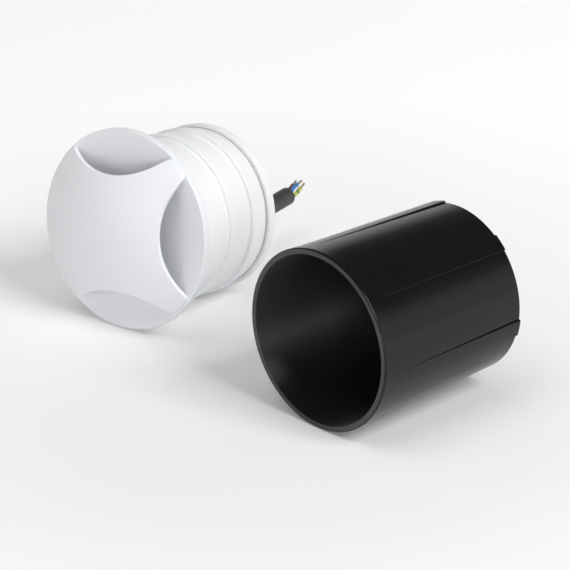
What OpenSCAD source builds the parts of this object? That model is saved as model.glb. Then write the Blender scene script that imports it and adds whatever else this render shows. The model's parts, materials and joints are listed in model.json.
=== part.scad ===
// Recessed step light with a domed three-way cover, and its wall sleeve lying beside it.
// Millimetres, +Z up. The origin is the centre of the sleeve's mouth; the sleeve runs along +Y.
// The light is drawn with its front rim at z = 0 and its depth along +z, then laid in place.

/* [Front cover] */
// How far the round front reaches past the housing's rings
flange_w = 7.6; // [7:0.1:9]
// Depth of the flange's back face behind the rim plane
flange_t = 3.4; // [3:0.1:4]
// How far the flange's front edge stands before the rim plane
flange_front = 0.6; // [0.4:0.1:1]
// Edge rounding of the flange
flange_round = 0.8; // [0.4:0.1:1.2]
// Radius of the domed front face
dome_r = 87; // [82:1:100]
// Height of the domed plate's edge above the rim plane
plate_rise = 2; // [1.8:0.1:2.2]
// Wall thickness of the domed plate
plate_t = 2.2; // [2:0.1:3]
// Width of the flange that shows round the domed plate
rim_w = 1; // [0.8:0.1:1.6]
// How far each window cuts into the plate from its edge
window_cut = 18.4; // [16:0.2:19]
// Width of the plate's tips between two windows, before their corners are rounded
tip_w = 11.9; // [11:0.1:14]
// Corner radius of the plate's tips between two windows
tip_corner = 2.5; // [1.5:0.25:3.5]
// Number of windows, a quarter turn apart
windows = 3; // [1:1:4]
// How far the square throat's edge lies inside the windows' edge
throat_inset = 1; // [0.6:0.2:3]
// Corner radius of the throat
throat_corner = 11; // [10.6:0.2:14]
// Depth of the window's floor at the throat's edge
fold_z = 1.2; // [0.6:0.1:1.6]
// Wall thickness of the collar that plugs into the housing
collar_t = 1.8; // [1.6:0.1:2]
// How far the collar ends before the glass
collar_gap = 0.3; // [0.2:0.1:0.6]
// Depth of the groove cut round the collar for its seal ring
groove_depth = 0.9; // [0.7:0.05:1]
// Width of that groove
groove_w = 1.8; // [1.6:0.1:2]

/* [Housing] */
// Radius of the ring lands that fit the sleeve
ring_r = 39.4; // [37:0.1:42]
// Height of the step from one band up to the next ring
ring_step = 2; // [1:0.1:2.4]
// Width of each ring's straight land
ring_land = 2.2; // [1.5:0.1:4]
// Width of the first land, behind the flange
front_land = 6; // [5:0.5:8]
// Length of the first band, from the housing's front edge to the second ring
band_1 = 25; // [22:0.1:28]
// Length of the second band, from the second ring to the third
band_2 = 16.4; // [14:0.1:18]
// Length of the third band, from the third ring to the rear edge
band_3 = 11.6; // [10:0.1:13]
// Thickness of the housing's wall at its narrow places
wall_t = 3; // [2.6:0.1:3.4]
// Thickness of its wall round the collar
mouth_t = 1.8; // [1.6:0.1:2]
// Depth of the ledge that carries the glass and the heat sink
ledge_z = 13.2; // [13:0.1:15]
// Thickness of that ledge
ledge_t = 2; // [1.5:0.1:3]
// Width of that ledge
ledge_w = 3; // [2:0.1:4]
// How far a screw boss's centre stands inside the housing's wall
boss_inset = 3; // [2.8:0.1:3.2]
// Radius of a screw boss
boss_r = 3.4; // [3.2:0.1:3.6]
// Length of a screw boss
boss_len = 11; // [9:0.5:13]

/* [Rear cap] */
// Thickness of the gasket under the rear cap
gasket_t = 0.6; // [0.4:0.1:1]
// Depth of the rear cap behind the gasket
cap_h = 5.8; // [5:0.1:7]
// Thickness of the rear cap's wall
cap_t = 2.8; // [2.4:0.1:3.2]
// Depth of the cap's plug inside the housing
plug_h = 3; // [2:0.2:4]
// Wall thickness of that plug
plug_t = 1.5; // [1.2:0.1:2]
// Edge rounding of the rear cap
cap_round = 1.8; // [1:0.1:2.4]
// Radius of a rear screw's head
screw_head_r = 2.8; // [2.6:0.1:3]
// Height of that head
screw_head_h = 1.8; // [1.4:0.1:2.2]
// Radius of a rear screw's shank
screw_r = 1.45; // [1.3:0.05:1.5]

/* [Inside] */
// Thickness of the frosted glass
glass_t = 2.5; // [2:0.1:3]
// Thickness of the glass's seal
glass_seal_t = 1.2; // [1:0.1:1.5]
// Room between the lamp board and the ledge round it
board_room = 2.2; // [1:0.1:4]
// Thickness of both circuit boards
board_t = 1.6; // [1:0.1:2]
// Distance of the lamp chips from the board's edge
chip_inset = 8; // [7:0.5:12]
// Number of lamp chips
chips = 12; // [6:1:16]
// Side of a lamp chip
chip_w = 3; // [2:0.1:3.5]
// Height of a lamp chip
chip_h = 0.7; // [0.5:0.1:0.8]
// Distance of the posts and screws from the board's edge
post_inset = 4; // [3.5:0.1:5]
// Radius of a post across its corners
post_r = 2.6; // [2.4:0.1:3]
// Radius of a board screw's shank, and of its head
board_screw_r = 1.2; // [1:0.05:1.25]
board_screw_head_r = 2.2; // [2:0.1:2.4]
// Height of a board screw's head
board_screw_head_h = 1.3; // [1:0.1:1.6]
// Thickness of the heat sink's plate
sink_t = 4; // [3.5:0.5:5]
// Height of its fins
fin_h = 7; // [4:0.5:8]
// Thickness of a fin
fin_t = 1.6; // [1.2:0.1:2]
// Distance between two fins
fin_pitch = 5; // [4.5:0.5:6]
// Radius of a lamp lead
lead_r = 0.7; // [0.5:0.05:0.9]
// Room for the driver, from its board's front face to the housing's rear edge
driver_room = 21.4; // [20:0.2:22]
// Radius and height of the driver's capacitor
capacitor_r = 5; // [4:0.5:6]
capacitor_h = 13; // [9:0.5:14]
// Sides and height of its transformer
transformer_w = 14; // [12:0.5:15]
transformer_d = 12; // [10:0.5:12]
transformer_h = 10; // [8:0.5:11]
// Radius and height of its choke
choke_r = 4; // [3:0.5:5]
choke_h = 8; // [6:0.5:10]
// Length, width and height of the chip in its middle
driver_chip_l = 12; // [10:0.5:13]
driver_chip_w = 7; // [5:0.5:8]
driver_chip_h = 3; // [2:0.5:4]
// Length, width and height of the terminal block
terminal_l = 16; // [15:0.5:18]
terminal_w = 8; // [7:0.5:9]
terminal_h = 9.6; // [9:0.2:11]
// Radius of the holes in it
terminal_hole_r = 1.5; // [1.3:0.1:1.8]

/* [Cable gland and cable] */
// Distance of the gland below the light's axis
gland_y = 12.5; // [11:0.5:14]
// Radius of the gland's thread
gland_thread_r = 7.9; // [7.5:0.1:8]
// Radius over the corners of its hexagons
gland_hex_r = 11; // [10.5:0.1:11.5]
// Height of the fixed hexagon
gland_base_h = 3.6; // [3:0.1:5]
// Height of the locknut inside the cap
locknut_h = 3; // [2.5:0.1:4]
// Length of the thread inside the cap
gland_inside = 8; // [7:0.5:9]
// Length of the thread that the nut turns on
gland_outside = 5; // [4:0.5:6]
// Wall thickness of the rubber seal in the gland
gland_seal_t = 2; // [1.5:0.1:2.4]
// Height of the turning nut
gland_nut_h = 8.8; // [8:0.1:10]
// Diameter of the cable's black jacket
cable_d = 8.6; // [7.4:0.1:8.8]
// Diameter of one insulated core
core_d = 2; // [1.8:0.1:2.2]
// Diameter of one bare conductor
wire_d = 1.1; // [0.9:0.1:1.3]

/* [Sleeve] */
// Radial clearance of the light's rings in the sleeve
ring_fit = 0.2; // [0.1:0.05:0.4]
// Thickness of the wall at the sleeve's mouth, with its lip
lip_t = 2.8; // [2.4:0.1:3.4]
// How far the lip stands out from the wall
lip_step = 0.3; // [0.2:0.1:0.6]
// Length of the lip round the mouth
lip_len = 2.6; // [2:0.1:4]
// Length of the sleeve
sleeve_len = 88; // [84:1:110]
// Length of the straight bore that holds the light
bore_len = 57; // [56:0.5:61]
// How much the outside narrows from the lip to the rear
draft_out = 3; // [1:0.1:3.2]
// How much the inside narrows behind the bore
draft_in = 1.6; // [1:0.1:2.5]
// Number of long pads round the sleeve
pads = 6; // [3:1:8]
// Width of a pad
pad_w = 8.8; // [6:0.1:12]
// Height of a pad at the rear
pad_rise = 0.8; // [0.6:0.1:1.4]
// Thickness of the sleeve's base
base_t = 2.4; // [2:0.1:4]
// Radius of the cable hole in the base
cable_hole_r = 10; // [8:0.5:12]
// How far the grommet's flanges reach past the hole, and their thickness
grommet_w = 1.6; // [1:0.1:3]
grommet_t = 1.5; // [1:0.1:2]
// Room round the cable in the grommet
grommet_room = 0.4; // [0.2:0.1:0.8]

/* [Placing] */
// Distance from the sleeve's axis to the light, to the left
light_side = 144; // [110:1:200]
// Distance of the light's rim behind the sleeve's mouth
light_ahead = 16.5; // [0:0.5:60]
// Angle that the light is turned from the sleeve's axis
light_yaw = 8.5; // [0:0.5:20]
// Angle that the light is rolled on its own axis
light_roll = -7.5; // [-45:0.5:45]
// Angle that the sleeve is rolled on its own axis
sleeve_roll = 42; // [0:1:60]

/* [Hidden] */
$fn = 96;
// Running gap between pieces that move apart, and the hair left where pieces are fitted
gap = 0.3;
hair = 0.05;
// Overlap that makes a cut pass cleanly through a face
eps = 0.5;

// Radii of the light, worked out from its rings
flange_r = ring_r + flange_w;
plate_r = flange_r - rim_w;
valley_r = ring_r - ring_step;
chamber_r = valley_r - wall_t;
mouth_r = valley_r - mouth_t;
collar_r = mouth_r - gap;
groove_r = collar_r - groove_depth;
oring_r = (mouth_r - groove_r) / 2 - hair;
window_in = plate_r - window_cut;
throat_w = window_in - throat_inset;
boss_at = chamber_r - boss_inset;
lamp_board_r = chamber_r - ledge_w - board_room;
chip_ring_r = lamp_board_r - chip_inset;
post_at = lamp_board_r - post_inset;
lead_at = post_at - lead_r - hair;
fin_reach = post_at - 2 * post_r;
driver_r = chamber_r - 1.5;

// The concave edge of a window is an arc through its middle and through the ends of both tips
tip_end = 45 - tip_w / 2 / plate_r * 180 / PI;
scoop_d = (pow(plate_r, 2) - pow(window_in, 2)) / (2 * (plate_r * cos(tip_end) - window_in));
scoop_r = scoop_d - window_in;

// Depths of the light, from front to rear
dome_h = plate_rise + dome_r - sqrt(pow(dome_r, 2) - pow(plate_r, 2));
dome_z = dome_r - dome_h;
housing_front_z = flange_t + gap;
ring_2_z = housing_front_z + band_1;
ring_3_z = ring_2_z + band_2;
housing_z = ring_3_z + band_3;
cap_z = housing_z + gasket_t;
rear_z = cap_z + cap_h;
glass_z = ledge_z - glass_seal_t - glass_t;
collar_z = glass_z - collar_gap;
groove_z = (flange_t + collar_z) / 2;
sink_z = ledge_z + ledge_t;
fin_z = sink_z + sink_t;
driver_z = housing_z - driver_room;
driver_top = driver_z + board_t;
gland_front_z = rear_z - cap_t - gland_inside;
gland_nut_z = rear_z + gland_base_h + gap;
gland_end_z = gland_nut_z + gland_nut_h;
boss_angles = [30, 150, 270];
post_angles = [90, 210, 330];

// Radii of the sleeve, worked out from the light's rings
bore_r = ring_r + ring_fit;
sleeve_r = bore_r + lip_t;
sleeve_wall_r = sleeve_r - lip_step;
sleeve_rear_r = sleeve_wall_r - draft_out;
pad_rear_r = sleeve_rear_r + pad_rise;

// The light lies on its flange's edge and its last ring, so it tips forward a little
edge_z = flange_t - flange_round;
tilt = atan((flange_r - ring_r) / (cap_z + ring_land - edge_z));
light_z = -sleeve_r + flange_r * cos(tilt) + edge_z * sin(tilt);

// Cable, in the light's own frame: straight out of the gland, then bending a little upwards and
// to one side
cable_path = [[0, 0, 0], [0, 0, 4], [0, 0, 8], [-0.2, -0.2, 13], [-0.8, -0.7, 19],
    [-1.6, -1.4, 26.5], [-2.5, -2.4, 35], [-3.4, -3.4, 43.5], [-4.4, -4.4, 52]];
brown_path = [[-1.2, -0.3, 0], [-1.2, -0.3, 1.5], [-1, -1.9, 4.5], [-1.2, -2.9, 8]];
blue_path = [[0.85, -0.9, 0], [0.85, -0.9, 1.5], [1, -2.7, 4.8], [1.2, -3.4, 8.4]];
earth_path = [[0.45, 1.15, 0], [0.45, 1.15, 1.5], [1.6, 0.5, 5.2], [2, -1.2, 9.4]];
wire_len = 4.2;

module place_light() {
    translate([-light_side, light_ahead, light_z])
        rotate([-90 - tilt, 0, light_yaw])
            rotate([0, 0, light_roll]) children();
}

module place_sleeve() {
    rotate([-90, 0, 0]) rotate([0, 0, sleeve_roll - 90]) children();
}

// Points along an arc, from angle a to angle b
function arc_point(centre, r, a) = centre + r * [cos(a), sin(a)];
function arc(centre, r, a, b, n) = [for (i = [0 : n]) arc_point(centre, r, a + (b - a) * i / n)];

// A tube swept along a list of points, closed at both ends
function unit(v) = v / norm(v);
function heading(p, i) =
    unit(p[min(i + 1, len(p) - 1)] - p[max(i - 1, 0)]);
function ring_points(c, dir, r, sides) =
    let (side = unit(cross(dir, [0, 1, 0])), top = cross(side, dir))
    [for (k = [0 : sides - 1]) c + r * (cos(360 * k / sides) * side + sin(360 * k / sides) * top)];

module tube(path, r, sides) {
    n = len(path);
    points = [for (i = [0 : n - 1]) each ring_points(path[i], heading(path, i), r, sides)];
    walls = [for (i = [0 : n - 2]) for (k = [0 : sides - 1])
        let (a = i * sides + k, b = i * sides + (k + 1) % sides)
        each [[a, b, b + sides], [a, b + sides, a + sides]]];
    near_end = [for (k = [1 : sides - 2]) [0, k + 1, k]];
    last = (n - 1) * sides;
    far_end = [for (k = [1 : sides - 2]) [last, last + k, last + k + 1]];
    polyhedron(points, concat(walls, near_end, far_end));
}

// Front cover: a flange with a square throat, and the domed plate that stands over it
function turned(points, a) =
    [for (p = points) [p[0] * cos(a) - p[1] * sin(a), p[0] * sin(a) + p[1] * cos(a)]];

// Points within an arc, without its two ends
function arc_inside(centre, r, a, b) =
    let (n = ceil(abs(b - a) / 3.6))
    n < 2 ? [] : [for (i = [1 : n - 1]) arc_point(centre, r, a + (b - a) * i / n)];

// Angle from a window's middle to the corner's centre, and the direction from there to the scoop's centre
function tip_angle() =
    acos((pow(scoop_d, 2) + pow(plate_r - tip_corner, 2) - pow(scoop_r + tip_corner, 2))
        / (2 * scoop_d * (plate_r - tip_corner)));
function tip_centre() = (plate_r - tip_corner) * [cos(tip_angle()), sin(tip_angle())];
function scoop_angle() = atan2(tip_centre()[1], scoop_d - tip_centre()[0]);

// The plate's edge at one window: a round corner, the concave scoop and the other corner
function window_edge() =
    let (tip = tip_centre(), t = tip_angle(), s = scoop_angle())
    concat(arc([tip[0], -tip[1]], tip_corner, -t, s, 7),
        arc_inside([scoop_d, 0], scoop_r, 180 + s, 180 - s),
        arc(tip, tip_corner, -s, t, 7));

module plate_outline() {
    t = tip_angle();
    polygon([for (k = [0 : windows - 1])
        let (a = 90 * (k - 1), next = k < windows - 1 ? a + 90 : 270)
        each concat(turned(window_edge(), a), arc_inside([0, 0], plate_r, a + t, next - t))]);
}

module domed_plate() {
    inner_r = dome_r - plate_t;
    outer = asin((plate_r + 1) / dome_r);
    inner = asin((plate_r + 1) / inner_r);
    intersection() {
        rotate_extrude($fn = 160) polygon(concat(
            arc([0, dome_z], dome_r, -90, -90 + outer, 16),
            arc([0, dome_z], inner_r, -90 + inner, -90, 16)));
        translate([0, 0, -dome_h - eps]) linear_extrude(dome_h + eps + 1.2) plate_outline();
    }
}

module throat_outline() {
    side = throat_w - throat_corner;
    square([2 * throat_w, 2 * side], center = true);
    square([2 * side, 2 * throat_w], center = true);
    for (x = [-side, side]) for (y = [-side, side])
        translate([x, y]) circle(r = throat_corner, $fn = 48);
}

module bowl() {
    front = -flange_front;
    inner = collar_r - collar_t;
    difference() {
        rotate_extrude($fn = 160) polygon(concat(
            [[0, fold_z], [throat_w, fold_z]],
            arc([flange_r - flange_round, front + flange_round], flange_round, -90, 0, 4),
            arc([flange_r - flange_round, flange_t - flange_round], flange_round, 0, 90, 4),
            [[collar_r, flange_t], [collar_r, collar_z], [inner, collar_z], [inner, flange_t],
            [0, flange_t]]));
        translate([0, 0, -eps]) linear_extrude(flange_t + 2 * eps) throat_outline();
    }
}

module front_cover() {
    color("white") place_light() {
        difference() {
            union() {
                bowl();
                domed_plate();
            }
            oring_groove();
        }
    }
}

module oring_groove() {
    translate([0, 0, groove_z - groove_w / 2]) difference() {
        cylinder(r = collar_r + eps, h = groove_w);
        translate([0, 0, -eps]) cylinder(r = groove_r, h = groove_w + 2 * eps);
    }
}

module cover_oring() {
    color("dimgray") place_light() translate([0, 0, groove_z])
        rotate_extrude() translate([groove_r + oring_r + hair, 0]) circle(r = oring_r, $fn = 24);
}

// Behind the cover: glass, seal, lamp board and heat sink
module diffuser() {
    color("gainsboro") place_light() translate([0, 0, glass_z])
        cylinder(r = mouth_r - gap, h = glass_t);
}

module diffuser_seal() {
    color("dimgray") place_light() translate([0, 0, ledge_z - glass_seal_t]) difference() {
        cylinder(r = mouth_r - gap, h = glass_seal_t);
        translate([0, 0, -eps]) cylinder(r = chamber_r - ledge_w, h = glass_seal_t + 2 * eps);
    }
}

module led_board() {
    color("whitesmoke") place_light() translate([0, 0, sink_z - board_t]) difference() {
        cylinder(r = lamp_board_r, h = board_t);
        for (a = post_angles)
            translate([post_at * cos(a), post_at * sin(a), -eps])
                cylinder(r = board_screw_r + 0.2, h = board_t + 2 * eps, $fn = 32);
    }
}

module led_chips() {
    color("khaki") place_light() for (k = [0 : chips - 1])
        rotate([0, 0, 360 * (k + 0.5) / chips])
            translate([chip_ring_r - chip_w / 2, -chip_w / 2, sink_z - board_t - chip_h])
                cube([chip_w, chip_w, chip_h]);
}

module board_screws() {
    color("silver") place_light() for (a = post_angles)
        translate([post_at * cos(a), post_at * sin(a), sink_z - board_t]) {
            translate([0, 0, -board_screw_head_h])
                cylinder(r = board_screw_head_r, h = board_screw_head_h, $fn = 32);
            translate([0, 0, -eps])
                cylinder(r = board_screw_r, h = board_t + sink_t - 1 + eps, $fn = 32);
        }
}

module heat_sink() {
    color("silver") place_light() difference() {
        union() {
            translate([0, 0, sink_z]) cylinder(r = chamber_r - 0.2, h = sink_t);
            intersection() {
                for (k = [-3 : 3])
                    translate([-fin_reach, k * fin_pitch - fin_t / 2, fin_z - eps])
                        cube([2 * fin_reach, fin_t, fin_h + eps]);
                translate([0, 0, fin_z - eps]) cylinder(r = fin_reach, h = fin_h + eps);
            }
        }
        for (a = post_angles)
            translate([post_at * cos(a), post_at * sin(a), sink_z - eps])
                cylinder(r = board_screw_r + hair, h = sink_t - 0.6 + eps, $fn = 32);
        for (s = [-1, 1]) translate([lead_at * s, 0, sink_z - eps])
            cylinder(r = lead_r + 0.6, h = sink_t + 2 * eps, $fn = 32);
        boss_notches(sink_z, sink_t);
    }
}

module boss_notches(z, h) {
    for (a = boss_angles)
        translate([boss_at * cos(a), boss_at * sin(a), z - eps])
            cylinder(r = boss_r + 0.4, h = h + 2 * eps, $fn = 48);
}

module led_leads() {
    color("firebrick") place_light() for (s = [-1, 1])
        translate([lead_at * s, 0, sink_z]) cylinder(r = lead_r, h = driver_z - sink_z, $fn = 24);
}

module standoffs() {
    color("goldenrod") place_light() for (a = post_angles)
        translate([post_at * cos(a), post_at * sin(a), fin_z])
            cylinder(r = post_r, h = driver_z - fin_z, $fn = 6);
}

// Driver: its board, its parts and the terminal block for the cable
module driver_board() {
    color("seagreen") place_light() difference() {
        translate([0, 0, driver_z]) cylinder(r = driver_r, h = board_t);
        boss_notches(driver_z, board_t);
    }
}

module driver_parts() {
    room = 1;
    color("darkslategray") place_light() translate([0, 0, driver_top]) {
        translate([-driver_r / 2, 0, 0]) cylinder(r = capacitor_r, h = capacitor_h, $fn = 48);
        translate([-transformer_w / 2, -driver_chip_w - room - transformer_d, 0])
            cube([transformer_w, transformer_d, transformer_h]);
        translate([driver_r / 2, 0, 0]) cylinder(r = choke_r, h = choke_h, $fn = 48);
        translate([-driver_chip_l / 2, -driver_chip_w, 0])
            cube([driver_chip_l, driver_chip_w, driver_chip_h]);
    }
}

module terminal_block() {
    pole = terminal_l / 3;
    color("whitesmoke") place_light() translate([0, gland_y, driver_top]) difference() {
        translate([-terminal_l / 2, -terminal_w / 2, 0]) cube([terminal_l, terminal_w, terminal_h]);
        for (k = [-1 : 1]) {
            translate([pole * k, 0, terminal_h / 2])
                cylinder(r = terminal_hole_r, h = terminal_h, $fn = 24);
            translate([pole * k, terminal_w / 4, terminal_h * 0.6]) rotate([-90, 0, 0])
                cylinder(r = terminal_hole_r, h = terminal_w, $fn = 24);
        }
    }
}

// Housing: a round can with barbed rings, each ring tapering down to the next step
module housing() {
    front = housing_front_z;
    color("white") place_light() difference() {
        union() {
            rotate_extrude($fn = 160) polygon([
                [mouth_r, front], [ring_r - 0.4, front], [ring_r, front + 0.4],
                [ring_r, front + front_land], [valley_r, ring_2_z],
                [ring_r, ring_2_z], [ring_r, ring_2_z + ring_land], [valley_r, ring_3_z],
                [ring_r, ring_3_z], [ring_r, ring_3_z + ring_land], [valley_r + 0.4, housing_z],
                [chamber_r, housing_z], [chamber_r, sink_z], [chamber_r - ledge_w, sink_z],
                [chamber_r - ledge_w, ledge_z], [mouth_r, ledge_z]]);
            for (a = boss_angles)
                translate([boss_at * cos(a), boss_at * sin(a), housing_z - boss_len])
                    cylinder(r = boss_r, h = boss_len, $fn = 48);
        }
        for (a = boss_angles)
            translate([boss_at * cos(a), boss_at * sin(a), housing_z - boss_len + 1])
                cylinder(r = screw_r + hair, h = boss_len, $fn = 32);
    }
}

module rear_gasket() {
    color("dimgray") place_light() difference() {
        translate([0, 0, housing_z])
            cylinder(r = valley_r + 0.6, h = gasket_t, $fn = 160);
        translate([0, 0, housing_z - eps])
            cylinder(r = chamber_r + 0.2, h = gasket_t + 2 * eps, $fn = 160);
        boss_notches(housing_z, gasket_t);
    }
}

module rear_cap() {
    plug_r = chamber_r - gap;
    color("white") place_light() difference() {
        rotate_extrude($fn = 160) polygon(concat(
            [[0, rear_z - cap_t], [plug_r - plug_t, rear_z - cap_t], [plug_r - plug_t, cap_z - plug_h],
            [plug_r, cap_z - plug_h], [plug_r, cap_z], [ring_r, cap_z], [ring_r, cap_z + ring_land]],
            arc([ring_r - cap_round - 0.4, rear_z - cap_round], cap_round, 0, 90, 6),
            [[0, rear_z]]));
        for (a = boss_angles) translate([boss_at * cos(a), boss_at * sin(a), 0]) {
            translate([0, 0, cap_z - plug_h - eps])
                cylinder(r = boss_r + 0.4, h = plug_h + eps, $fn = 48);
            translate([0, 0, cap_z - eps])
                cylinder(r = screw_r + 0.25, h = cap_h + 2 * eps, $fn = 32);
        }
        translate([0, gland_y, rear_z - cap_t - eps])
            cylinder(r = gland_thread_r + hair, h = cap_t + 2 * eps, $fn = 64);
    }
}

module rear_screws() {
    color("silver") place_light() for (a = boss_angles)
        translate([boss_at * cos(a), boss_at * sin(a), 0]) {
            translate([0, 0, housing_z - boss_len + 2])
                cylinder(r = screw_r, h = rear_z - housing_z + boss_len - 2 + eps, $fn = 32);
            difference() {
                translate([0, 0, rear_z])
                    cylinder(r = screw_head_r, h = screw_head_h, $fn = 32);
                translate([0, 0, rear_z + screw_head_h / 2])
                    cylinder(r = screw_head_r / 2, h = screw_head_h, $fn = 6);
            }
        }
}

// Cable gland: threaded body, locknut inside, rubber seal and the nut that squeezes it
module gland_body() {
    through = gland_inside + cap_t + gland_base_h + gland_outside;
    color("lightgray") place_light() translate([0, gland_y, 0]) difference() {
        union() {
            translate([0, 0, gland_front_z])
                cylinder(r = gland_thread_r, h = rear_z - gland_front_z, $fn = 64);
            translate([0, 0, rear_z]) {
                cylinder(r = gland_hex_r, h = gland_base_h, $fn = 6);
                cylinder(r = gland_thread_r, h = gland_base_h + gland_outside, $fn = 64);
            }
        }
        translate([0, 0, gland_front_z - eps])
            cylinder(r = cable_d / 2 + gap, h = through + 2 * eps, $fn = 48);
        translate([0, 0, rear_z + 1])
            cylinder(r = cable_d / 2 + gland_seal_t, h = through, $fn = 48);
    }
}

module gland_locknut() {
    color("lightgray") place_light() translate([0, gland_y, rear_z - cap_t - locknut_h]) difference() {
        cylinder(r = gland_hex_r, h = locknut_h, $fn = 6);
        translate([0, 0, -eps]) cylinder(r = gland_thread_r + hair, h = locknut_h + 2 * eps, $fn = 64);
    }
}

module gland_seal() {
    seal_h = gland_base_h + gland_outside - 1;
    color("dimgray") place_light() translate([0, gland_y, rear_z + 1]) difference() {
        cylinder(r = cable_d / 2 + gland_seal_t - hair, h = seal_h + 0.4, $fn = 48);
        translate([0, 0, -eps]) cylinder(r = cable_d / 2 + hair, h = seal_h + 0.4 + 2 * eps, $fn = 48);
    }
}

module gland_nut() {
    crown = gland_nut_h - gland_outside - 1.8;
    color("lightgray") place_light() translate([0, gland_y, gland_nut_z]) difference() {
        intersection() {
            cylinder(r = gland_hex_r, h = gland_nut_h, $fn = 6);
            cylinder(r1 = gland_hex_r + 3, r2 = gland_hex_r - 1.8, h = gland_nut_h, $fn = 64);
        }
        translate([0, 0, -eps])
            cylinder(r = gland_thread_r + gap, h = gland_nut_h - crown + eps, $fn = 64);
        translate([0, 0, -eps])
            cylinder(r = cable_d / 2 + gap, h = gland_nut_h + 2 * eps, $fn = 48);
    }
}

// Cable: the stretch held in the gland, the free end outside and the stripped cores
module cable_inner() {
    color("#1c1c1c") place_light() translate([0, gland_y, gland_front_z])
        cylinder(r = cable_d / 2, h = gland_end_z - gland_front_z, $fn = 48);
}

module inner_cores() {
    pole = terminal_l / 3;
    entry_z = driver_top + terminal_h - 2;
    color("saddlebrown") place_light() for (k = [-1 : 1])
        tube([[2.2 * k, gland_y, gland_front_z], [2.2 * k, gland_y, gland_front_z - 1],
            [pole * k, gland_y, entry_z + 2.6], [pole * k, gland_y, entry_z]], core_d / 2, 8);
}

module cable() {
    color("#1c1c1c") place_light() translate([0, gland_y, gland_end_z])
        tube(cable_path, cable_d / 2, 12);
}

// A point of a stripped core, measured from the cable's end: sideways, down and outwards
function at_end(p) =
    let (last = len(cable_path) - 1, out = heading(cable_path, last),
        side = unit(cross([0, 1, 0], out)), down = cross(out, side))
    cable_path[last] + p[0] * side + p[1] * down + p[2] * out;

module free_core(path) {
    place_light() translate([0, gland_y, gland_end_z])
        tube([for (p = path) at_end(p)], core_d / 2, 8);
}

module core_brown() {
    color("saddlebrown") free_core(brown_path);
}

module core_blue() {
    color("royalblue") free_core(blue_path);
}

module core_earth() {
    color("yellowgreen") free_core(earth_path);
}

module core_tips() {
    color("tan") place_light() translate([0, gland_y, gland_end_z])
        for (path = [brown_path, blue_path, earth_path]) {
            last = at_end(path[3]);
            tube([last, last + wire_len * unit(last - at_end(path[2]))], wire_d / 2, 8);
        }
}

// Sleeve: a thin drafted tube with a lip, long pads, a closed base and a cable hole
module sleeve() {
    wall_start = lip_len + 0.6;
    inside_end = sleeve_len - base_t;
    color("#141414") place_sleeve() difference() {
        union() {
            rotate_extrude($fn = 160) polygon([
                [0, inside_end], [bore_r - draft_in, inside_end], [bore_r, bore_len], [bore_r, 0],
                [sleeve_r - 0.8, 0], [sleeve_r, 0.8], [sleeve_r, lip_len - 0.6],
                [sleeve_wall_r, wall_start], [sleeve_rear_r, sleeve_len - 0.8],
                [sleeve_rear_r - 0.8, sleeve_len], [0, sleeve_len]]);
            for (k = [0 : pads - 1]) rotate([0, 0, 360 * k / pads]) intersection() {
                translate([bore_r + hair, -pad_w / 2, wall_start - eps])
                    cube([pad_w, pad_w, sleeve_len - wall_start + eps]);
                translate([0, 0, wall_start - eps]) cylinder(r1 = sleeve_wall_r, r2 = pad_rear_r,
                    h = sleeve_len - wall_start + eps, $fn = 160);
            }
        }
        translate([0, 0, inside_end - eps])
            cylinder(r = cable_hole_r, h = base_t + 2 * eps, $fn = 64);
    }
}

module sleeve_grommet() {
    inner = cable_d / 2 + grommet_room;
    outer = cable_hole_r + grommet_w;
    waist = cable_hole_r - hair;
    base_in = sleeve_len - base_t - hair;
    base_out = sleeve_len + hair;
    color("dimgray") place_sleeve() rotate_extrude($fn = 64) polygon([
        [inner, base_in - grommet_t], [outer, base_in - grommet_t], [outer, base_in], [waist, base_in],
        [waist, base_out], [outer, base_out], [outer, base_out + grommet_t],
        [inner, base_out + grommet_t]]);
}

front_cover();
cover_oring();
diffuser();
diffuser_seal();
led_board();
led_chips();
board_screws();
heat_sink();
led_leads();
standoffs();
driver_board();
driver_parts();
terminal_block();
housing();
rear_gasket();
rear_cap();
rear_screws();
gland_body();
gland_locknut();
gland_seal();
gland_nut();
cable_inner();
inner_cores();
cable();
core_brown();
core_blue();
core_earth();
core_tips();
sleeve();
sleeve_grommet();
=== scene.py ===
# %% [markdown]
# Recessed step light, with the wall sleeve that it goes into lying beside it.
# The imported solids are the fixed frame. This script gives them their finish, and rebuilds the pieces
# that show with rounded edges: the domed cover, the barbed housing, the gland, the cable and the sleeve.

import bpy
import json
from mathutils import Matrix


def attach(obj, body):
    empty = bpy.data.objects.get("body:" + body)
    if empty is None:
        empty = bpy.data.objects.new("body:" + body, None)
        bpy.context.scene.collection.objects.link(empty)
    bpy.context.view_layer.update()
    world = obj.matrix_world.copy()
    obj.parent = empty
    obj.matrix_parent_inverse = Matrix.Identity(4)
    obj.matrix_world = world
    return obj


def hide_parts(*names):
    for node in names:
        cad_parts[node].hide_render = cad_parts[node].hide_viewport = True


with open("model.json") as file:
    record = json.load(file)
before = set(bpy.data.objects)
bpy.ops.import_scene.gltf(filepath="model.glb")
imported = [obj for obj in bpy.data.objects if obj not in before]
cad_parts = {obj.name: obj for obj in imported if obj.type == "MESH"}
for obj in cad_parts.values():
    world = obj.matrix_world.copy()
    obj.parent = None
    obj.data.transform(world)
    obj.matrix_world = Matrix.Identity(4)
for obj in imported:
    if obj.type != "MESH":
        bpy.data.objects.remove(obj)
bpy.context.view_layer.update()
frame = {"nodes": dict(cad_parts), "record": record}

import json
import math

import bmesh
import bpy
from mathutils import Matrix, Vector

# %% [markdown]
# Both pieces are round, so each is modelled standing up on its own axis, in millimetres, and laid in
# its place at the end. For the light, z runs from the front backwards. Its place comes from the record:
# the mount on the housing gives the axis and a point on it, and the roll puts the windows upright.
# The sleeve lies with its mouth at the origin and its axis along Y.

# %% The two places
MM = 0.001
LAND_Z = 6.9
LIGHT_ROLL = math.radians(-7.5)
SLEEVE_ROLL = math.radians(42 - 90)

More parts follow.
